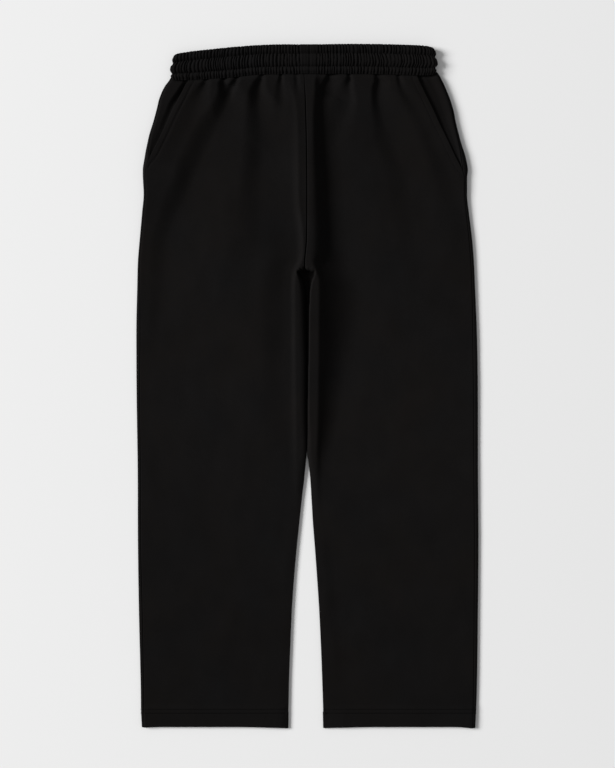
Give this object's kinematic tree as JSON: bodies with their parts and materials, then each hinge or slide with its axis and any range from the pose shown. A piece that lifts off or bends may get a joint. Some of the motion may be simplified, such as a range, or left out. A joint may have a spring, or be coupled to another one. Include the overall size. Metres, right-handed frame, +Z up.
{
  "type": "elastic-waist sweat trousers laid flat",
  "caption": "Wide-leg sweat trousers with a gathered elastic waistband, slanted front pockets and turned-up hems, laid flat on their back.",
  "frame": {"origin": "on the ground under the middle of the laid-out garment's bounding box", "axes": "+Y along the legs towards the waistband, +Z up from the ground through the front, +X towards the wearer's left leg"},
  "size_m": [0.5203, 1.0382, 0.016],
  "materials": {
    "black_jersey": "heavy black brushed-back jersey, matt",
    "black_jersey_casing": "the same jersey gathered on a wide elastic, matt"
  },
  "bodies": {
    "root": {"waistband": "black_jersey_casing", "front_right": "black_jersey", "front_left": "black_jersey", "back_right": "black_jersey", "back_left": "black_jersey", "pocket_facing_right": "black_jersey", "pocket_facing_left": "black_jersey"}
  },
  "joints": []
}
